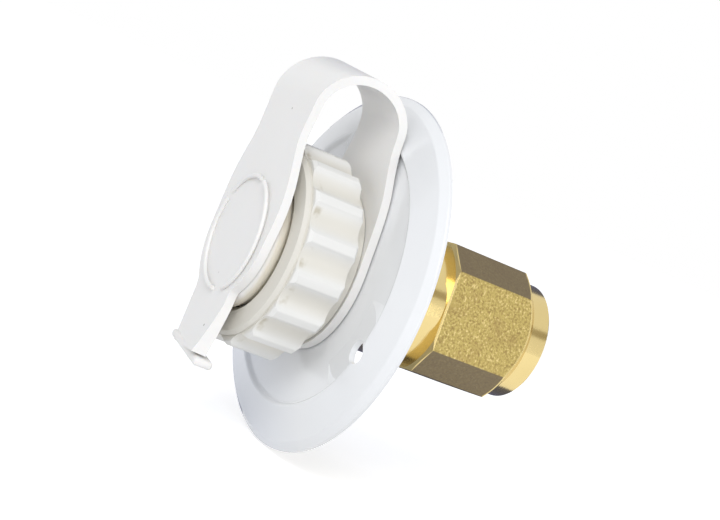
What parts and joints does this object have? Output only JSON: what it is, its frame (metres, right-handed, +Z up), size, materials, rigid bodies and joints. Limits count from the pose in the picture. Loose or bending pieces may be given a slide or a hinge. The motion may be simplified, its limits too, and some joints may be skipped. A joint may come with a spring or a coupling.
{
  "type": "caravan water inlet",
  "caption": "Wall-mounted caravan water inlet: round white flange, swivelling hose coupling closed by a strap plug, brass body with a spring check valve.",
  "frame": {"origin": "centre of the flange on the wall plane, where the rim of the flange meets the wall", "axes": "-Y out of the wall towards the hose, +Y into the wall towards the pipe, +Z up through the loop of the plug's strap"},
  "size_m": [0.0698, 0.0663, 0.0714],
  "materials": {
    "flange_enamel": "gloss white powder coat",
    "brass": "turned bright at the ends, cast texture on the eight-sided block",
    "white_plastic": "moulded, semi-gloss warm white",
    "soft_vinyl": "soft matte off-white",
    "spring_steel": "bright zinc",
    "screen_steel": "perforated stainless",
    "black_rubber": "matte",
    "valve_plastic": "natural acetal"
  },
  "bodies": {
    "inlet": {"flange": "flange_enamel", "valve_body": "brass", "flange_lock_ring": "spring_steel", "coupling_snap_ring": "spring_steel", "inlet_screen": "screen_steel", "hose_washer": "black_rubber", "poppet_guide": "valve_plastic", "guide_clip": "spring_steel", "valve_spring": "spring_steel"},
    "coupling": {"hose_coupling": "white_plastic"},
    "poppet": {"valve_poppet": "valve_plastic", "poppet_seal": "black_rubber"},
    "plug": {"plug_and_strap": "soft_vinyl"}
  },
  "joints": [
    {"name": "coupling_spin", "type": "hinge", "parent": "inlet", "child": "coupling", "pos_m": [0, -0.012, 0], "axis": [0, 1, 0], "continuous": true},
    {"name": "poppet_lift", "type": "slide", "parent": "inlet", "child": "poppet", "axis": [0, 1, 0], "range_m": [0, 0.005], "stiffness_N_per_m": 150, "springref_m": -0.003, "deforming": ["valve_spring"]},
    {"name": "plug_pull", "type": "slide", "parent": "inlet", "child": "plug", "axis": [0, -1, 0], "range_m": [0, 0.014], "deforming": ["plug_and_strap"]}
  ]
}
